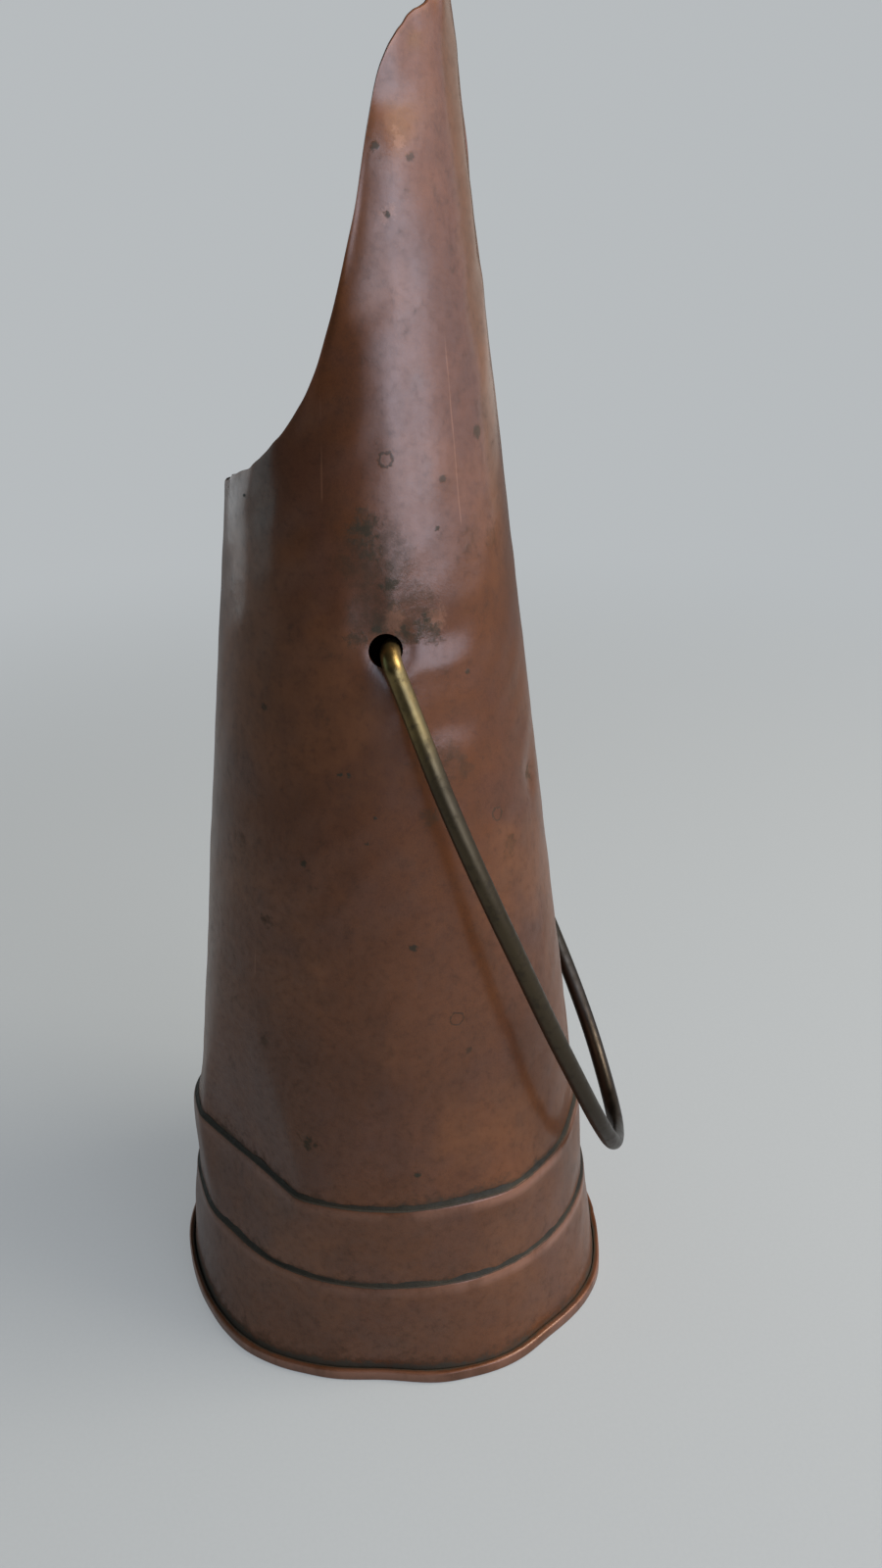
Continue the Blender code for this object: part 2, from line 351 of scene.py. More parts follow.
GRIME_WIDTH = 1.7 * MM             # how far grime creeps up from the upper band
GRIME_CREEP = (0.45, 40 * MM, 71)
TIGHT_ANGLE = math.radians(-97)    # here the band sits tight, and little grime has gathered
TIGHT_SPREAD = math.radians(13)
SEAM_GRIME = 0.7 * MM


def mouth_heights(angles):
    """Height of the mouth's edge at each angle, by halving, plus the wobble of a hand cut."""
    path = smooth_path(MOUTH_OUTLINE, 12) * MM
    low = np.full(angles.shape, path[0, 1])
    high = np.full(angles.shape, path[-1, 1])
    for _ in range(40):
        z = (low + high) / 2
        reach = cone_radius(z) * out_of_round(angles, z)
        x = reach * np.cos(angles) + CONE_LEAN * z
        y = reach * np.sin(angles)
        edge = np.interp(z, path[:, 1], path[:, 0])
        below = x * math.cos(MOUTH_TURN) + y * math.sin(MOUTH_TURN) > edge
        low = np.where(below, z, low)
        high = np.where(below, high, z)
    around = angles * MOUTH_RADIUS
    filed = FAR_LIP_DROP * np.exp(-(wrap(angles - FAR_LIP_ANGLE) / FAR_LIP_SPREAD) ** 2)
    return low + uneven(MOUTH_WAVES, around) + uneven(MOUTH_NICKS, around) - filed


def grime_width(angles):
    """How far grime has crept up from a lap at each angle."""
    tight = np.exp(-(wrap(angles - TIGHT_ANGLE) / TIGHT_SPREAD) ** 2)
    return GRIME_WIDTH * (1 + uneven(GRIME_CREEP, angles * CONE_FOOT_RADIUS)) * (1 - 0.7 * tight)


def body_grime(angles, z, radius):
    """Grime above the upper band and along the lap seam."""
    lap = np.exp(-np.maximum(z - UPPER_BAND_TOP, 0) / grime_width(angles))
    from_edge = wrap(angles - SEAM_ANGLE) * radius - SEAM_EDGE * SEAM_WIDTH
    return np.maximum(lap, 0.8 * np.exp(-(from_edge / SEAM_GRIME) ** 2))


def make_body():
    """The rolled cone: dented outside, matching inside, raw hand-cut mouth, two punched holes."""
    angles = column_angles(BODY_COLUMNS)
    top = mouth_heights(angles)
    share = np.linspace(0, 1, BODY_ROWS)[None, :] ** ROW_CROWDING
    z = BODY_BOTTOM + (top - BODY_BOTTOM) * share
    radius = cone_radius(z)
    from_rim = top - z
    roll = uneven(MOUTH_ROLL, angles * MOUTH_RADIUS) * np.exp(-(from_rim / ROLL_FADE) ** 2)
    step = seam(angles, radius)
    extra = hole_edge(angles, z, radius) + step + roll
    bevelled = z - RIM_BEVEL * (share == 1)
    outer = surface(radius, angles, bevelled, extra)
    lip_out = surface(radius[:, -1:] - RIM_BEVEL, angles, top, extra[:, -1:])
    lip_in = surface(radius[:, -1:] - SHEET + RIM_BEVEL, angles, top, extra[:, -1:])
    inner = surface(radius - SHEET, angles, bevelled, extra - SEAM_INSIDE * step)
    rings = np.concatenate([outer, lip_out, lip_in, inner[:, ::-1]], axis=1)

    # the marks follow the same round: outer side, the rim's two edges, inner side
    one = np.ones((BODY_COLUMNS, 1))
    none = 0 * one
    rim = np.exp(-from_rim / RIM_GLINT)
    grime = body_grime(angles, z, radius)
    marks = {
        "rim": np.concatenate([rim, one, one, rim[:, ::-1]], axis=1),
        "inside": np.concatenate([0 * rim, none, one, 1 + 0 * rim], axis=1),
        "grime": np.concatenate([grime, none, none, 0.3 * grime[:, ::-1]], axis=1),
    }
    body = ring_mesh("copper_body", rings, marks)
    cut_holes(body)
    return body


def cut_holes(body):
    """Cuts the two bail holes and keeps the result as the body's mesh."""
    bpy.ops.mesh.primitive_cylinder_add(
        vertices=48, radius=HOLE_RADIUS, depth=2 * FOOT_RADIUS,
        location=(HOLE_X, 0, HOLE_Z), rotation=(math.pi / 2, 0, 0))
    cutter = bpy.context.object
    cut = body.modifiers.new("holes", "BOOLEAN")
    cut.object = cutter
    solved = body.evaluated_get(bpy.context.evaluated_depsgraph_get())
    mesh = bpy.data.meshes.new_from_object(solved)
    body.modifiers.remove(cut)
    body.data = mesh
    mesh.shade_smooth()
    mesh.set_sharp_from_angle(angle=math.radians(SHARP_FROM))
    bpy.data.objects.remove(cutter)


# ---------------------------------------------------------------- the base

BAND_COLUMNS = 300
BAND_SPACING = 1.2 * MM            # rings of points on the bands are about this far apart
PLATE_SPACING = 3 * MM
PLATE_CENTRE = 0.05 * MM           # radius of the tiny ring that ends the disc's middle
WAIST_RADIUS = UPPER_BAND_RADIUS + UPPER_BAND_FLARE * (UPPER_BAND_TOP - LOWER_BAND_TOP)
WALL_RADIUS = LOWER_BAND_RADIUS + LOWER_BAND_FLARE * (LOWER_BAND_TOP - LIP_HEIGHT)

ROLL_DEPTH = 0.7 * MM              # the bands' tops are rolled in by this much
ROLL_HEIGHT = 2.4 * MM
INNER_EDGE_DROP = 0.1 * MM
TOP_GRIME = 0.2 * MM

LIT_SIDE_ANGLE = math.radians(-42)     # the lit side of the bands: a painted highlight over the rub wear on their shoulders, and thinner grime
LIT_SIDE_SPREAD = math.radians(36)
WEAR_AND_HIGHLIGHT_BELOW_TOP = 1.6 * MM
WEAR_AND_HIGHLIGHT_HEIGHT = 1.3 * MM

LAP_SOLDER_SIZE = 0.9 * MM
LAP_SOLDER_IN = 0.15 * MM          # how far the fillet reaches into the wall behind it
INNER_SOLDER_LUMPS = (0.22, 9 * MM, 31)
INNER_SOLDER_LIFT = 0.05 * MM


def fill_in(points, spacing):
    """Radius and z along a closed outline, with points added on its long straight runs."""
    filled = []
    for a, b in zip(points, points[1:] + points[:1]):
        a, b = np.array(a), np.array(b)
        parts = max(1, int(np.linalg.norm(b - a) / spacing))
        filled += [a + (b - a) * k / parts for k in range(parts)]
    return np.array(filled).T


def shoulder(radius, z, steps=8):
    """Top of a band, rolled in towards the wall behind it."""
    turns = [math.pi / 2 * (1 - k / steps) for k in range(steps + 1)]
    return [(radius - ROLL_DEPTH * (1 - math.cos(t)), z - ROLL_HEIGHT * (1 - math.sin(t))) for t in turns]


def band_marks(radius, z, wall, top, foot_grime):
    """Marks of a band: its inner side, grime at its foot and top edge, rub wear along its shoulder, which
    turned_band strengthens into a painted highlight on the lit side.
    """
    return {
        "rim": 0 * z,
        "inside": (radius < wall - 0.5 * SHEET) * (z < top - INNER_EDGE_DROP) * 1.0,
        "grime": np.maximum(foot_grime, (z > top - TOP_GRIME) * 1.0),
        "wear_and_highlight": np.exp(-((z - (top - WEAR_AND_HIGHLIGHT_BELOW_TOP)) / WEAR_AND_HIGHLIGHT_HEIGHT) ** 2),
    }


def turned_band(name, radius, z, marks):
    """Turns a closed outline round the can's axis, dents included. On the lit side the shoulder wear is
    strengthened into a painted highlight, and the grime is thinned there, which paints shade away from the
    light.
    """
    angles = column_angles(BAND_COLUMNS)
    lit_side = np.exp(-(wrap(angles - LIT_SIDE_ANGLE) / LIT_SIDE_SPREAD) ** 2)
    # painted highlight: the shoulder's wear mark is weighted towards the lit side
    marks["wear_and_highlight"] = marks["wear_and_highlight"] * (0.2 + 0.8 * lit_side)
    # painted shade: the grime is thinned on the lit side and thickened away from it, over the real lap
    # grime
    marks["grime"] = marks["grime"] * (1.15 - 0.55 * lit_side)
    return ring_mesh(name, surface(radius, angles, z + 0 * angles), marks)


def make_upper_band():
    """Upper step. Below the top of the lower band it widens with that band, inside it."""
    foot = WAIST_RADIUS + LOWER_BAND_FLARE * (LOWER_BAND_TOP - UPPER_BAND_BOTTOM) - LAP
    outline = [(UPPER_BAND_RADIUS - SHEET, UPPER_BAND_TOP - INNER_EDGE_DROP)]
    outline += shoulder(UPPER_BAND_RADIUS, UPPER_BAND_TOP)
    outline += [(WAIST_RADIUS, LOWER_BAND_TOP), (foot, UPPER_BAND_BOTTOM)]
    outline += [(foot - SHEET, UPPER_BAND_BOTTOM), (WAIST_RADIUS - SHEET, LOWER_BAND_TOP)]
    radius, z = fill_in(outline, BAND_SPACING)
    heights = [UPPER_BAND_BOTTOM, LOWER_BAND_TOP, UPPER_BAND_TOP]
    wall = np.interp(z, heights, [foot, WAIST_RADIUS, UPPER_BAND_RADIUS])
    grime = np.exp(-np.maximum(z - LOWER_BAND_TOP, 0) / (1.0 * MM)) * (z > LOWER_BAND_TOP - 2 * MM)
    marks = band_marks(radius, z, wall, UPPER_BAND_TOP, grime)
    return turned_band("copper_upper_band", radius, z, marks)


def make_lower_band():
    """Lower step. Its foot is turned out into the flange that the base plate is folded over."""
    outline = [(LOWER_BAND_RADIUS - SHEET, LOWER_BAND_TOP - INNER_EDGE_DROP)]
    outline += shoulder(LOWER_BAND_RADIUS, LOWER_BAND_TOP)
    outline += [
        (WALL_RADIUS, LIP_HEIGHT),
        (WALL_RADIUS + FLANGE_BEND, FLANGE_TOP + FLANGE_BEND),
        (WALL_RADIUS + 0.7 * MM, FLANGE_TOP),
        (FLANGE_EDGE, FLANGE_TOP),
        (FLANGE_EDGE, FLANGE_BOTTOM),
        (WALL_RADIUS - 0.2 * MM, FLANGE_BOTTOM),
        (WALL_RADIUS - SHEET, FLANGE_BOTTOM + 0.6 * MM),
        (WALL_RADIUS - SHEET, LIP_HEIGHT),
    ]
    radius, z = fill_in(outline, BAND_SPACING)
    wall = LOWER_BAND_RADIUS + LOWER_BAND_FLARE * (LOWER_BAND_TOP - z)
    grime = np.exp(-np.maximum(z - LIP_HEIGHT, 0) / (2.2 * MM))
    marks = band_marks(radius, z, wall, LOWER_BAND_TOP, grime)
    return turned_band("copper_lower_band", radius, z, marks)


def make_base_plate():
    """Disc with its edge folded up and over. Its middle is filled by ever smaller rings."""
    inside = FOOT_RADIUS - FOLD
    pocket = inside - 0.1 * MM
    underside = FLANGE_TOP + LIP_ROOM
    lip_edge = FOOT_RADIUS - LIP_WIDTH
    quarter = [math.radians(degrees) for degrees in range(0, 91, 15)]
    outline = [(PLATE_CENTRE, 0)]
    outline += [(inside + FOLD * math.sin(a), FOLD - FOLD * math.cos(a)) for a in quarter]
    outline += [(inside + FOLD * math.cos(a), LIP_HEIGHT - FOLD + FOLD * math.sin(a)) for a in quarter]
    outline += [(lip_edge, LIP_HEIGHT - LIP_DROOP), (lip_edge, underside)]
    outline += [(pocket, underside), (pocket, SHEET), (PLATE_CENTRE, SHEET)]
    radius, z = fill_in(outline, PLATE_SPACING)
    marks = {
        "rim": 0 * z,
        "inside": (z > 0.5 * SHEET) * (radius < inside - MM) * 1.0,
        "grime": (z > underside - 0.1 * MM) * (radius < FOOT_RADIUS - 0.9 * MM) * 1.0,
        "wear_and_highlight": np.exp(-((z - 0.6 * LIP_HEIGHT) / WEAR_AND_HIGHLIGHT_HEIGHT) ** 2) * (radius > FOOT_RADIUS - MM),
    }
    angles = column_angles(BAND_COLUMNS)
    height = z + 0 * angles
    flat = np.stack([radius * np.cos(angles), radius * np.sin(angles), height], axis=-1)
    # dents fade towards the middle of the disc, which stays flat and round
    dented = (radius / FOOT_RADIUS) ** 3
    rings = flat + (surface(radius, angles, height) - flat) * dented[:, None]
    return ring_mesh("copper_base_plate", rings, marks)


def turned_bead(name, angles, profile, grime):
    """Turns an outline whose radius and z differ from column to column."""
    rings = np.stack([surface(radius, angles, z)[:, 0] for radius, z in profile], axis=1)
    return ring_mesh(name, rings, {"grime": np.full(1, grime)})


def make_lap_solder(name, wall_radius, band_radius, height, seed):
    """Uneven fillet of old solder and grime in the corner above a band."""
    angles = column_angles(BAND_COLUMNS)
    around = angles * wall_radius
    size = 1 + uneven((0.35, 14 * MM, seed), around) + uneven((0.2, 4 * MM, seed + 1), around)
    size = np.clip(size, 0.35, 1.7) * (0.4 + 0.6 * grime_width(angles) / GRIME_WIDTH)
    climb = LAP_SOLDER_SIZE * size
    wall = wall_radius - LAP_SOLDER_IN + 0 * size
    low = height - LAP_SOLDER_SIZE + 0 * size
    reach = band_radius - ROLL_DEPTH + 0.1 * MM * size
    profile = [
        (wall, low),
        (reach, low),
        (reach, height - 0.05 * MM + 0 * size),
        (wall + 0.5 * MM, height + 0.2 * climb),
        (wall + 0.3 * MM, height + 0.55 * climb),
        (wall + 0.1 * MM, height + climb),
    ]
    return turned_bead(name, angles, profile, 1.0)


def make_inner_solder():
    """Rough bead of solder round the inside corner of the base."""
    outer = WALL_RADIUS - SHEET - SOLDER_GAP
    floor = SHEET + INNER_SOLDER_LIFT
    angles = column_angles(BAND_COLUMNS)
    size = SOLDER_SIZE * (1 + uneven(INNER_SOLDER_LUMPS, angles * outer))
    profile = [(outer + 0 * size, floor + 0 * size)]
    for degrees in range(90, -1, -18):
        a = math.radians(degrees)
        profile.append((outer - size * (1 - math.sin(a)), floor + size * (1 - math.cos(a))))
    return turned_bead("inner_solder_bead", angles, profile, 0.2)


# ---------------------------------------------------------------- the bail

WIRE_SIDES = 24
WIRE_SHARP_FROM = 40
CAP_WIDTHS = (0.35, 0.75, 0.95)    # rings of the domes that close the wire's ends, in wire widths
CAP_LENGTH = 0.5                   # length of a dome, in wire radii
STRAIGHT_END = 30 * MM             # the wire is bent more and more up to this far from its hinge


def arc(centre, radius, start, end, steps):
    """Points of an arc from one angle to another."""
    angles = np.linspace(start, end, steps + 1)
    return [(centre[0] + radius * math.cos(a), centre[1] + radius * math.sin(a)) for a in angles]


def bail_path():
    """The wire's centre line as (distance from pivot, half width), hooked end to hooked end."""
    quarter = math.pi / 2
    half = [(HOOK_RADIUS + HOOK_LENGTH, HOOK_HALF_WIDTH)]
    half += arc((HOOK_RADIUS, HOOK_HALF_WIDTH + HOOK_RADIUS), HOOK_RADIUS, -quarter, -2 * quarter, 10)
    half += arc((BEND_RADIUS, BAIL_HALF_WIDTH - BEND_RADIUS), BEND_RADIUS, 2 * quarter, quarter, 12)
    knots = [(BEND_RADIUS / MM, BAIL_HALF_WIDTH / MM)] + list(BAIL_OUTLINE)
    arm = smooth_path(knots, 16, beyond=(knots[-2][0], -knots[-2][1])) * MM
    half = np.array(half + [tuple(p) for p in arm[1:]])
    return np.concatenate([half * (1, -1), half[-2::-1]])


def sweep_wire(name, path, radius):
    """Round wire along a path, with ends closed by small domes."""
    ahead = np.gradient(path, axis=0)
    ahead /= np.linalg.norm(ahead, axis=1)[:, None]
    travelled = np.append(0, np.cumsum(np.linalg.norm(np.diff(path, axis=0), axis=1)))
    dome = [(width, CAP_LENGTH * math.sqrt(1 - width ** 2)) for width in CAP_WIDTHS]
    side = np.cross(ahead[0], (0.3, 0.2, 1.0))
    turn = np.arange(WIRE_SIDES)[:, None] * (2 * math.pi / WIRE_SIDES)
    rings, lengths = [], []
    for k, (centre, direction) in enumerate(zip(path, ahead)):
        side = side - direction * side.dot(direction)
        side /= np.linalg.norm(side)
        ring = np.cos(turn) * side + np.sin(turn) * np.cross(direction, side)
        # each ring made here: (its width, how far ahead of the centre), in wire radii
        made = [(1.0, 0.0)]
        if k == 0:
            made = [(width, -out) for width, out in dome] + made
        if k == len(path) - 1:
            made = made + dome[::-1]
        for width, out in made:
            rings.append(centre + direction * radius * out + ring * radius * width)
            lengths.append(travelled[k])
    index = np.arange(len(rings) * WIRE_SIDES).reshape(len(rings), WIRE_SIDES)
    right = np.roll(index, -1, axis=1)
    quads = np.stack([index[:-1], right[:-1], right[1:], index[1:]], axis=-1).reshape(-1, 4).tolist()
    faces = quads + [index[0][::-1].tolist(), index[-1].tolist()]
    along = np.repeat(np.array(lengths) / travelled[-1], WIRE_SIDES)
    return mesh_object(name, np.array(rings).reshape(-1, 3), faces, {"along": along}, WIRE_SHARP_FROM)


def make_bail():
    """The wire bail, not quite flat, hanging as it does at rest."""
    path = bail_path()
    out_of_plane = uneven(WIRE_BENDS, path[:, 0], path[:, 1]) * np.clip(path[:, 0] / STRAIGHT_END, 0, 1)
    local = np.stack([path[:, 0], path[:, 1], out_of_plane], axis=-1)
    turn = np.array(Matrix.Rotation(BAIL_REST, 3, "Y"))
    return sweep_wire("brass_bail", local @ turn.T + np.array(PIVOT), WIRE_RADIUS)


# ---------------------------------------------------------------- materials

class Tree:
    """Small helper for writing a material's nodes in order."""

    def __init__(self, name):
        self.material = bpy.data.materials.new(name)
        self.material.use_nodes = True
        self.nodes = self.material.node_tree.nodes
        self.links = self.material.node_tree.links
        self.shader = self.nodes["Principled BSDF"]
        self.coords = self.node("ShaderNodeTexCoord").outputs["Object"]

    def node(self, kind, **inputs):
        made = self.nodes.new(kind)
        for key, value in inputs.items():
            self.feed(made.inputs[key.replace("_", " ")], value)
        return made

    def feed(self, socket, value):
        if isinstance(value, bpy.types.NodeSocket):
            self.links.new(value, socket)
        elif socket.type == "RGBA":
            socket.default_value = (*value, 1.0)
        else:
            socket.default_value = value

    def set(self, name, value):
        self.feed(self.shader.inputs[name], value)

    def math(self, operation, a, b=0.0, c=0.0, clamp=False):
        made = self.nodes.new("ShaderNodeMath")
        made.operation = operation
        made.use_clamp = clamp
        for socket, value in zip(made.inputs, (a, b, c)):
            self.feed(socket, value)
        return made.outputs[0]

    def noise(self, scale, detail=3.0, roughness=0.55, stretch=None, offset=0.0):
        where = self.coords
        if stretch or offset:
            moved = self.node("ShaderNodeMapping", Vector=where)
            moved.inputs["Scale"].default_value = stretch or (1, 1, 1)
            moved.inputs["Location"].default_value = (offset, offset * 0.7, offset * 1.3)
            where = moved.outputs[0]
        return self.node("ShaderNodeTexNoise", Vector=where, Scale=scale, Detail=detail,
                         Roughness=roughness).outputs["Fac"]

    def between(self, value, low, high, out_low=0.0, out_high=1.0):
        made = self.node("ShaderNodeMapRange", Value=value)
        made.interpolation_type = "SMOOTHSTEP"
        made.inputs["From Min"].default_value = low
        made.inputs["From Max"].default_value = high
        made.inputs["To Min"].default_value = out_low
        made.inputs["To Max"].default_value = out_high
        return made.outputs[0]

    def mix(self, amount, a, b):
        made = self.nodes.new("ShaderNodeMix")
        made.data_type = "RGBA"
        self.feed(made.inputs["Factor"], amount)
        self.feed(made.inputs[6], a)
        self.feed(made.inputs[7], b)
        return made.outputs[2]

    def mark(self, name):
        made = self.nodes.new("ShaderNodeAttribute")
        made.attribute_name = name
        return made.outputs["Fac"]

    def vector_math(self, operation, a, b):
        made = self.nodes.new("ShaderNodeVectorMath")
        made.operation = operation
        self.feed(made.inputs[0], a)
        self.feed(made.inputs[1], b)
        return made

    def distance(self, point, where=None):
        return self.vector_math("DISTANCE", where or self.coords, point).outputs["Value"]

    def ragged(self, scale, reach):
        """Coordinates pushed about by noise, which give a round mark a ragged edge."""
        push = self.node("ShaderNodeTexNoise", Vector=self.coords, Scale=scale, Detail=4.0, Roughness=0.7)
        centred = self.vector_math("SUBTRACT", push.outputs["Color"], (0.5, 0.5, 0.5)).outputs[0]
        moved = self.vector_math("MULTIPLY", centred, (reach, reach, reach)).outputs[0]
        return self.vector_math("ADD", self.coords, moved).outputs[0]


# Stains on the cone: angle (deg), height (mm), radius (mm), strength
STAINS = (
    (-85, 210, 8.0, 0.45), (-72, 199, 6.0, 0.4), (-88, 199, 5.0, 0.4), (-66, 164, 6.0, 0.3),
    (-88, 216, 3.6, 0.9), (-86, 211, 2.6, 0.8), (-89, 219, 1.6, 0.7), (-80, 204, 2.4, 0.9),
    (-81, 208, 1.8, 0.7), (-79, 200, 1.8, 0.7), (-68, 195, 2.4, 0.95), (-64, 193, 2.4, 0.8),
    (-84, 196, 2.4, 0.6), (-75, 193, 2.6, 0.85), (-92, 193, 2.0, 0.7), (-85, 195, 1.2, 0.9),
    (-99, 163, 0.55, 1.0), (-96, 163, 0.6, 1.0), (-78, 121, 0.9, 0.9), (-112, 141, 0.9, 0.9),
    (-88, 153, 0.5, 0.9), (-91, 147, 0.4, 0.8), (-80, 61, 0.8, 1.0), (-111, 68, 2.2, 0.9),
    (-60, 286, 0.9, 0.6), (-143, 221, 0.5, 1.0), (-61, 165, 3.2, 0.5), (-57, 161, 2.2, 0.4),
    (-40, 139, 2.6, 0.45), (-70, 152, 2.2, 0.5), (-77, 288, 0.9, 0.8), (-20, 151, 1.8, 0.8),
    (-33, 210, 2.6, 0.35), (-45, 211, 3.0, 0.25), (-128, 176, 0.9, 0.7), (-52, 183, 0.7, 0.8),
    (-34, 233, 1.5, 0.75), (-56, 225, 0.9, 0.7), (-73, 276, 0.7, 0.9), (-60, 215, 0.5, 0.8),
    (-126, 124, 1.6, 0.5), (-139, 142, 2.2, 0.35), (-127, 92, 1.4, 0.4), (-45, 40, 1.6, 0.5),
    (-100, 36, 0.8, 0.7), (-63, 92, 0.8, 0.6), (40, 200, 2.2, 0.6), (95, 130, 3.2, 0.5),
    (120, 210, 1.5, 0.8), (170, 90, 2.6, 0.5), (15, 260, 1.4, 0.7), (75, 80, 1.2, 0.8),
)
# Ring marks left by drops: angle (deg), then in mm height, ring radius, ring width
RING_MARKS = (
    (-79, 230, 1.45, 0.5), (-66, 101, 1.7, 0.35), (-38, 24, 1.6, 0.4), (-45, 148, 1.5, 0.3),
    (65, 225, 1.8, 0.5), (140, 175, 2.2, 0.6),
)
# Pale halos: angle (deg), then in mm height, radius
HALOS = ((-73, 276, 2.0), (-66, 289, 1.8), (-62, 196, 3.0), (-79, 197, 3.4))
# Fine upright scratches: angle (deg), top, bottom (mm)
SCRATCHES = ((-104, 246, 221), (-49, 268, 214), (-131, 117, 108), (35, 180, 150), (110, 95, 60))
SCRATCH_WIDTH = 0.3 * MM

# Tarnish of the body and of the base: (dark, middle, light)
BODY_COPPER = ((0.118, 0.036, 0.009), (0.175, 0.055, 0.014), (0.215, 0.076, 0.024))
BASE_COPPER = ((0.120, 0.040, 0.013), (0.175, 0.060, 0.020), (0.215, 0.083, 0.034))
PURPLE_BLOOM = (0.125, 0.058, 0.046)
ORANGE_BLOOM = (0.235, 0.083, 0.026)
DARK_GRAIN = (0.050, 0.020, 0.010)
DARK_MOTTLE = (0.070, 0.026, 0.012)
DARK_SPECKS = (0.055, 0.024, 0.013)
RIM_COPPER = (0.30, 0.13, 0.075)
INSIDE_COPPER = (0.060, 0.032, 0.020)
SCRATCHED_COPPER = (0.30, 0.125, 0.06)
COAT_ROUGHNESS = 0.2
COAT_IOR = 1.65
STAIN_COLOUR = (0.034, 0.027, 0.013)
HALO_COLOUR = (0.30, 0.135, 0.075)
GRIME_DARK = (0.022, 0.019, 0.012)
GRIME_PALE = (0.058, 0.050, 0.034)
# brighter copper for rub wear and for the painted highlight on the bands' lit shoulders
WEAR_AND_HIGHLIGHT_COPPER = (0.42, 0.20, 0.13)

LOOP_BRASS = (0.060, 0.050, 0.042)
ARM_BRASS = (0.085, 0.064, 0.038)
# rubbed brass near the holes, brightened into a painted highlight
GOLDEN_BRASS_AND_HIGHLIGHT = (0.34, 0.245, 0.095)
DARK_BRASS = (0.03, 0.022, 0.014)
SOLDER_DARK = (0.12, 0.12, 0.115)
SOLDER_PALE = (0.30, 0.30, 0.29)


def scratches(t):
    """Thin pale lines along the cone."""
    parts = t.node("ShaderNodeSeparateXYZ", Vector=t.coords)
    total = 0.0
    for degrees, top, bottom in SCRATCHES:
        high, low = place(degrees, top), place(degrees, bottom)
        lean = (high - low) / (high.z - low.z)
        above_low = t.math("SUBTRACT", parts.outputs["Z"], low.z)
        line = t.node("ShaderNodeCombineXYZ", X=t.math("MULTIPLY_ADD", above_low, lean.x, low.x),
                      Y=t.math("MULTIPLY_ADD", above_low, lean.y, low.y), Z=parts.outputs["Z"])
        mark = t.between(t.distance(line.outputs[0]), SCRATCH_WIDTH, 0.3 * SCRATCH_WIDTH)
        fade_in = t.between(above_low, 0.0, 4 * MM)
        fade_out = t.between(above_low, high.z - low.z, 0.0, 0.0, 3.0)
        ends = t.math("MULTIPLY", fade_in, fade_out)
        mark = t.math("MULTIPLY", mark, t.math("MINIMUM", ends, 1.0))
        total = t.math("MAXIMUM", total, mark)
    return total


def marks_of_use(t, fine):
    """Stains, drop rings and halos on the cone, as two masks."""
    ragged, rough = t.ragged(420, 8 * MM), t.ragged(900, 2.2 * MM)
    blotchy = t.between(fine, 0.35, 0.58, 0.4, 1.0)
    stains, halos = 0.0, 0.0
    for degrees, height, radius, strength in STAINS:
        large = radius > 1.5
        away = t.distance(place(degrees, height), ragged if large else rough)
        mark = t.between(away, 1.3 * radius * MM, 0.6 * radius * MM, 0.0, strength)
        stains = t.math("MAXIMUM", stains, t.math("MULTIPLY", mark, blotchy) if large else mark)
    for degrees, height, radius, width in RING_MARKS:
        off = t.math("ABSOLUTE", t.math("SUBTRACT", t.distance(place(degrees, height), rough), radius * MM))
        stains = t.math("MAXIMUM", stains, t.between(off, width * MM, 0.2 * width * MM, 0.0, 0.7))
    for degrees, height, radius in HALOS:
        away = t.distance(place(degrees, height), ragged)
        halos = t.math("MAXIMUM", halos, t.between(away, 1.2 * radius * MM, 0.5 * radius * MM, 0.0, 0.55))
    return stains, halos


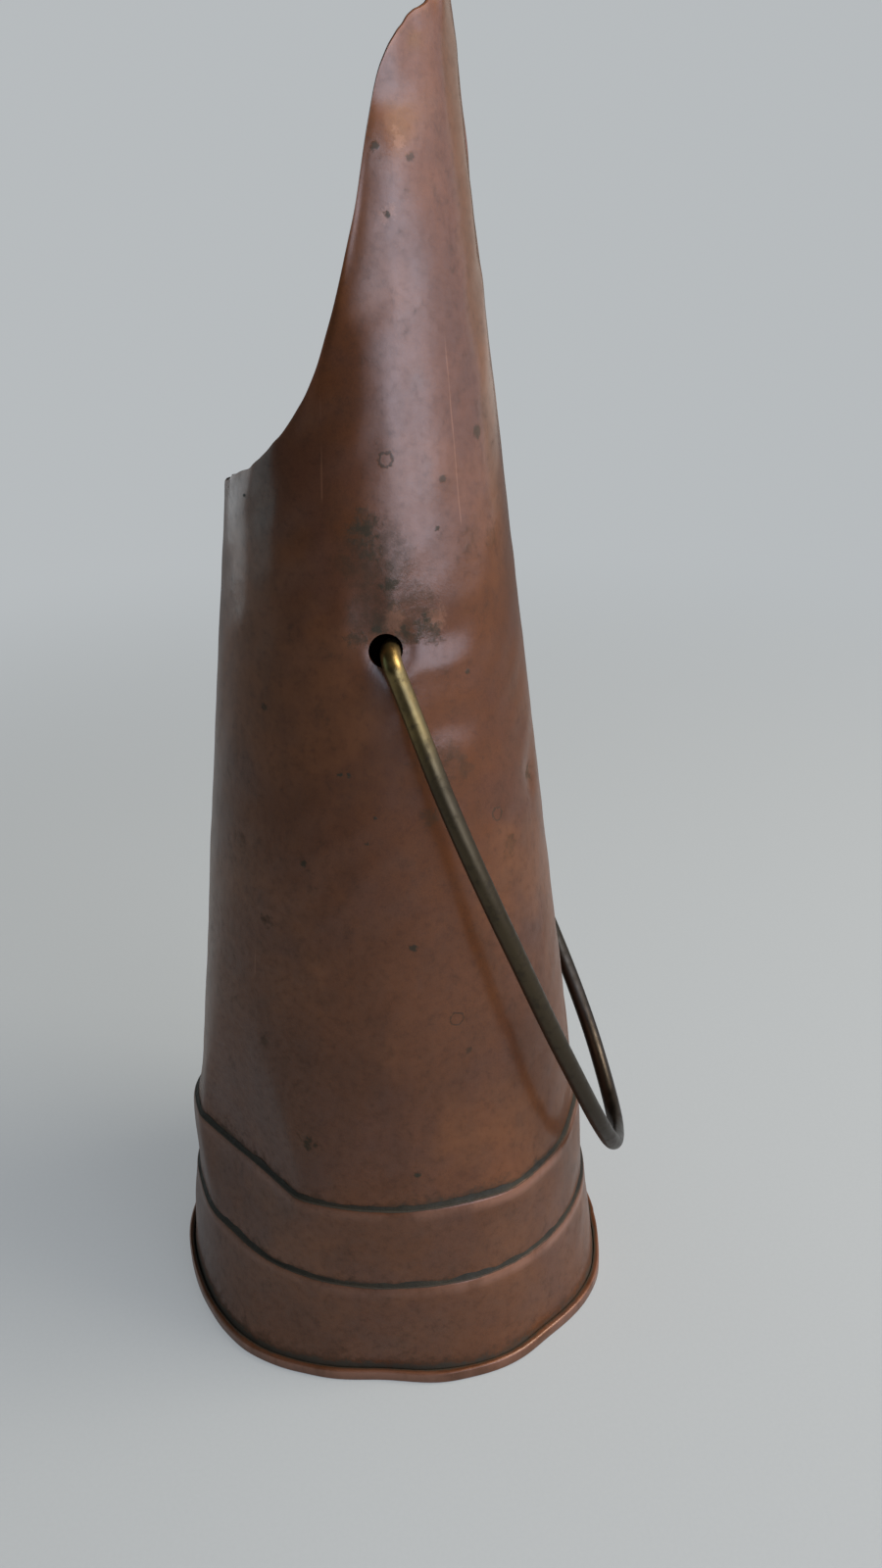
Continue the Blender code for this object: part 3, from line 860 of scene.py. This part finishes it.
def copper(name, dark, middle, light, body=False):
    """Old copper: a thin glossy tarnish over dull brown metal, mottled, stained and grimy in its laps."""
    t = Tree(name)
    broad = t.noise(16, 4.0, 0.6)
    streaks = t.noise(60, 5.0, 0.6, stretch=(1, 1, 0.3), offset=3.0)
    mottle = t.noise(150, 5.0, 0.7, offset=13.0)
    fine = t.noise(520, 5.0, 0.7, offset=7.0)
    grain = t.noise(2600, 3.0, 0.6, offset=1.0)
    tone = t.math("ADD", t.math("MULTIPLY", broad, 0.5), t.math("MULTIPLY", streaks, 0.3))
    tone = t.math("ADD", tone, t.math("MULTIPLY", mottle, 0.2))
    colour = t.mix(t.between(tone, 0.38, 0.51), dark, middle)
    colour = t.mix(t.between(tone, 0.49, 0.62), colour, light)
    purple = t.between(t.noise(26, 4.0, 0.6, offset=11.0), 0.45, 0.68, 0.0, 0.4)
    colour = t.mix(purple, colour, PURPLE_BLOOM)
    colour = t.mix(t.between(grain, 0.35, 0.7, 0.0, 0.18), colour, DARK_GRAIN)
    orange = t.between(t.noise(24, 4.0, 0.65, offset=21.0), 0.48, 0.64, 0.0, 0.6)
    colour = t.mix(orange, colour, ORANGE_BLOOM)
    colour = t.mix(t.between(mottle, 0.4, 0.7, 0.0, 0.35), colour, DARK_MOTTLE)
    colour = t.mix(t.between(fine, 0.45, 0.75, 0.0, 0.35), colour, DARK_SPECKS)
    spots = t.between(t.noise(230, 3.0, 0.6, offset=5.0), 0.76, 0.80, 0.0, 0.5)
    if body:
        stains, halos = marks_of_use(t, fine)
        colour = t.mix(halos, colour, HALO_COLOUR)
        colour = t.mix(t.math("MULTIPLY", scratches(t), 0.5), colour, SCRATCHED_COPPER)
        spots = t.math("MAXIMUM", spots, stains)
    colour = t.mix(spots, colour, STAIN_COLOUR)
    # rub wear, with a painted highlight on the bands' lit side, in brighter copper and lower roughness
    wear_and_highlight = t.math("MULTIPLY", t.mark("wear_and_highlight"), t.between(streaks, 0.35, 0.6))
    colour = t.mix(t.math("MULTIPLY", wear_and_highlight, 0.8), colour, WEAR_AND_HIGHLIGHT_COPPER)
    colour = t.mix(t.math("MULTIPLY", t.mark("rim"), 0.5), colour, RIM_COPPER)
    inside = t.mark("inside")
    colour = t.mix(t.math("MULTIPLY", inside, 0.75), colour, INSIDE_COPPER)
    spread = t.math("ADD", t.math("SUBTRACT", mottle, 0.5), t.math("SUBTRACT", fine, 0.5))
    grime = t.between(t.math("ADD", t.mark("grime"), spread), 0.10, 0.95, 0.0, 0.95)
    colour = t.mix(grime, colour, t.mix(fine, GRIME_DARK, GRIME_PALE))
    dirt = t.math("MAXIMUM", grime, t.math("MULTIPLY", spots, 0.8))
    t.set("Base Color", colour)
    t.set("Metallic", t.between(dirt, 0.0, 1.0, 0.6, 0.1))
    rough = t.math("ADD", t.between(streaks, 0.3, 0.7, 0.54, 0.64), t.math("MULTIPLY", dirt, 0.2))
    t.set("Roughness", t.math("SUBTRACT", rough, t.math("MULTIPLY", wear_and_highlight, 0.2)))
    glossy = t.math("SUBTRACT", t.between(fine, 0.3, 0.75, 0.95, 0.7), t.math("MULTIPLY", dirt, 0.85))
    height = t.node("ShaderNodeSeparateXYZ", Vector=t.coords).outputs["Z"]
    glossy = t.math("SUBTRACT", glossy, t.between(height, 270 * MM, 100 * MM, 0.0, 0.35))
    t.set("Coat Weight", t.math("SUBTRACT", glossy, t.math("MULTIPLY", inside, 0.4), clamp=True))
    t.shader.inputs["Coat Roughness"].default_value = COAT_ROUGHNESS
    t.shader.inputs["Coat IOR"].default_value = COAT_IOR
    relief = t.math("ADD", t.math("MULTIPLY", grain, 0.10), t.math("MULTIPLY", fine, 0.35))
    relief = t.math("ADD", relief, t.math("MULTIPLY", mottle, 0.8))
    relief = t.math("ADD", relief, t.math("MULTIPLY", dirt, 0.6))
    lumps = t.node("ShaderNodeBump", Height=relief, Strength=0.4, Distance=0.00012)
    t.set("Normal", lumps.outputs[0])
    t.set("Coat Normal", lumps.outputs[0])
    return t.material


def brass():
    """Old brass wire: golden near the holes, partly rubbed brass and partly a painted highlight, dark olive
    along the arms, grey at the loop.
    """
    t = Tree("old_brass_wire")
    along = t.mark("along")
    middle = t.math("ABSOLUTE", t.math("SUBTRACT", along, 0.5))
    fine = t.noise(300, 5.0, 0.65)
    broad = t.noise(70, 4.0, 0.6, offset=4.0)
    # golden near the holes: rub polish with a painted highlight where the upper wire catches the light
    near_hole = t.between(middle, 0.385, 0.455)
    golden_and_highlight = t.math("MULTIPLY", near_hole, t.between(broad, 0.3, 0.6, 0.35, 1.0))
    colour = t.mix(t.between(middle, 0.05, 0.28), LOOP_BRASS, ARM_BRASS)
    colour = t.mix(golden_and_highlight, colour, GOLDEN_BRASS_AND_HIGHLIGHT)
    colour = t.mix(t.between(fine, 0.5, 0.75, 0.0, 0.8), colour, DARK_BRASS)
    t.set("Base Color", colour)
    t.set("Metallic", t.between(fine, 0.55, 0.8, 0.95, 0.6))
    t.set("Roughness", t.between(fine, 0.3, 0.75, 0.3, 0.5))
    lumps = t.node("ShaderNodeBump", Height=fine, Strength=0.3, Distance=0.0001)
    t.set("Normal", lumps.outputs[0])
    return t.material


def old_solder(name, dark, pale, roughness):
    """Dull, lumpy solder or grime."""
    t = Tree(name)
    fine = t.noise(500, 5.0, 0.65)
    broad = t.noise(90, 4.0, 0.6, offset=2.0)
    t.set("Base Color", t.mix(t.between(broad, 0.4, 0.65), dark, t.mix(fine, dark, pale)))
    t.set("Metallic", t.between(broad, 0.3, 0.7, 0.15, 0.5))
    t.set("Roughness", t.between(fine, 0.3, 0.7, roughness - 0.08, roughness + 0.1))
    lumps = t.node("ShaderNodeBump", Height=fine, Strength=0.6, Distance=0.0003)
    t.set("Normal", lumps.outputs[0])
    return t.material


# ---------------------------------------------------------------- studio

BACKDROP = (0.475, 0.500, 0.515)
AMBIENT = (0.97, 0.98, 1.0)
AMBIENT_STRENGTH = 0.15
FLOOR_HALF = 6.0
FADE = (0.3, 0.8)                  # from and to this far from the can, the floor fades into the backdrop

CAMERA_PLACE = (0.0174, -0.3050, 0.2817)
CAMERA_PITCH = math.radians(-24.5)
CAMERA_ROLL = math.radians(-1.37)
CAMERA_LENS = 30.375               # mm, for the sensor size below
CAMERA_SENSOR = 36

LIGHT_DISTANCE = 1.2
LIGHT_AIM = Vector((0, 0, 0.15))
# A window in front and to the right, fading out at both sides: azimuth (deg), share of WINDOW_GLOW
WINDOW = (
    (-84, 0.15), (-74, 0.5), (-64, 0.8), (-54, 1.0), (-44, 1.0), (-34, 0.8),
    (-24, 0.55), (-14, 0.4), (-4, 0.35), (6, 0.3), (16, 0.25), (26, 0.2),
)
WINDOW_GLOW = (2.6, 2.95, 3.7)
WINDOW_ELEVATION = 12
WINDOW_SIZE = (0.22, 0.62)
# Other soft boxes: name, azimuth, elevation (deg), size (m), glow
LIGHTS = (
    ("high_right", -6, 48, (0.55, 0.5), (9.0, 8.2, 6.8)),
    ("high_right_wide", -16, 46, (1.2, 0.8), (1.9, 1.6, 1.2)),
    ("low_right", 50, 8, (1.0, 0.5), (0.55, 0.5, 0.45)),
    ("back_left", 142, 8, (0.8, 0.62), (0.85, 0.95, 1.0)),
    ("left", 180, 12, (0.6, 0.62), (0.25, 0.4, 0.45)),
)


def pale_table():
    """Matt pale surface with a faint grain, lifted evenly so that it stays pale far from the lights."""
    t = Tree("pale_table")
    speckle = t.between(t.noise(900, 3.0, 0.6), 0.3, 0.7)
    pale = t.mix(speckle, (0.275, 0.297, 0.315), (0.284, 0.306, 0.324))
    away = t.distance((0, 0, 0))
    t.set("Base Color", t.mix(t.between(away, *FADE), pale, (0, 0, 0)))
    t.set("Emission Color", BACKDROP)
    path = t.nodes.new("ShaderNodeLightPath")
    shown = t.math("MULTIPLY", path.outputs["Is Camera Ray"], t.between(away, *FADE, 0.48, 1.0))
    mirrored = t.math("MULTIPLY", path.outputs["Is Glossy Ray"], 0.3)
    t.set("Emission Strength", t.math("ADD", shown, mirrored))
    t.shader.inputs["Roughness"].default_value = 0.6
    t.shader.inputs["Specular IOR Level"].default_value = 0.0
    return t.material


def make_floor():
    """Large floor, which is only scenery."""
    half = FLOOR_HALF
    corners = [(-half, -half, 0), (half, -half, 0), (half, half, 0), (-half, half, 0)]
    floor = mesh_object("floor", np.array(corners, float), [(0, 1, 2, 3)], {})
    floor.data.materials.append(pale_table())


def soft_light(name, azimuth, elevation, size, glow):
    """Soft box of the given brightness. Azimuth is measured from +X towards +Y, in degrees."""
    data = bpy.data.lights.new(name, "AREA")
    data.shape = "RECTANGLE"
    data.size, data.size_y = size
    brightest = max(glow)
    data.energy = math.pi * size[0] * size[1] * brightest
    data.color = [part / brightest for part in glow]
    lamp = bpy.data.objects.new(name, data)
    lamp.visible_camera = False
    bpy.context.scene.collection.objects.link(lamp)
    a, e = math.radians(azimuth), math.radians(elevation)
    away = Vector((math.cos(a) * math.cos(e), math.sin(a) * math.cos(e), math.sin(e)))
    lamp.location = LIGHT_AIM + away * LIGHT_DISTANCE
    lamp.rotation_euler = away.to_track_quat("Z", "Y").to_euler()


def make_world():
    """Pale backdrop for the camera, and soft light from all round that polished metal doesn't mirror."""
    world = bpy.data.worlds.new("studio")
    bpy.context.scene.world = world
    world.use_nodes = True
    nodes, links = world.node_tree.nodes, world.node_tree.links
    backdrop = nodes["Background"]
    backdrop.inputs["Color"].default_value = (*BACKDROP, 1)
    backdrop.inputs["Strength"].default_value = 1.0
    ambient = nodes.new("ShaderNodeBackground")
    ambient.inputs["Color"].default_value = (*AMBIENT, 1)
    ambient.inputs["Strength"].default_value = AMBIENT_STRENGTH
    path = nodes.new("ShaderNodeLightPath")
    choose = nodes.new("ShaderNodeMixShader")
    links.new(path.outputs["Is Camera Ray"], choose.inputs[0])
    links.new(ambient.outputs[0], choose.inputs[1])
    links.new(backdrop.outputs[0], choose.inputs[2])
    links.new(choose.outputs[0], nodes["World Output"].inputs[0])
    world.cycles_visibility.glossy = False


def make_camera():
    """Stands before the can's near side and looks down on it."""
    data = bpy.data.cameras.new("camera")
    data.sensor_width = CAMERA_SENSOR
    data.lens = CAMERA_LENS
    data.clip_start = 0.01
    camera = bpy.data.objects.new("camera", data)
    bpy.context.scene.collection.objects.link(camera)
    tilt = Matrix.Rotation(math.pi / 2 + CAMERA_PITCH, 4, "X")
    camera.matrix_world = Matrix.Translation(CAMERA_PLACE) @ tilt @ Matrix.Rotation(CAMERA_ROLL, 4, "Z")
    bpy.context.scene.camera = camera


# ---------------------------------------------------------------- put together

def finish_piece(piece, finish, body, slot, *nodes):
    """Gives a piece its material, its body and the CAD solids that it replaces. The slot is not used."""
    piece.data.materials.clear()
    piece.data.materials.append(finish)
    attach(piece, body)
    if nodes:
        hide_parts(*nodes)


def main():
    bpy.context.scene.view_settings.view_transform = "Standard"
    make_camera()
    make_world()
    make_floor()
    for azimuth, share in WINDOW:
        glow = [share * part for part in WINDOW_GLOW]
        soft_light("window", azimuth, WINDOW_ELEVATION, WINDOW_SIZE, glow)
    for light in LIGHTS:
        soft_light(*light)

    body_copper = copper("body_copper", *BODY_COPPER, body=True)
    base_copper = copper("base_copper", *BASE_COPPER)
    grime = old_solder("lap_grime", GRIME_DARK, GRIME_PALE, 0.65)
    grey_solder = old_solder("grey_solder", SOLDER_DARK, SOLDER_PALE, 0.5)

    finish_piece(make_body(), body_copper, "can", "body_copper", "body_shell")
    finish_piece(make_upper_band(), base_copper, "can", "base_copper", "upper_base_band")
    finish_piece(make_lower_band(), base_copper, "can", "base_copper", "lower_base_band")
    finish_piece(make_base_plate(), base_copper, "can", "base_copper", "base_plate")
    finish_piece(make_inner_solder(), grey_solder, "can", "soft_solder", "base_solder_seam")
    upper = make_lap_solder("upper_lap_solder", CONE_FOOT_RADIUS, UPPER_BAND_RADIUS, UPPER_BAND_TOP, 41)
    lower = make_lap_solder("lower_lap_solder", WAIST_RADIUS, LOWER_BAND_RADIUS, LOWER_BAND_TOP, 51)
    finish_piece(upper, grime, "can", "soft_solder")
    finish_piece(lower, grime, "can", "soft_solder")
    finish_piece(make_bail(), brass(), "bail", "brass_wire", "bail_handle")


main()
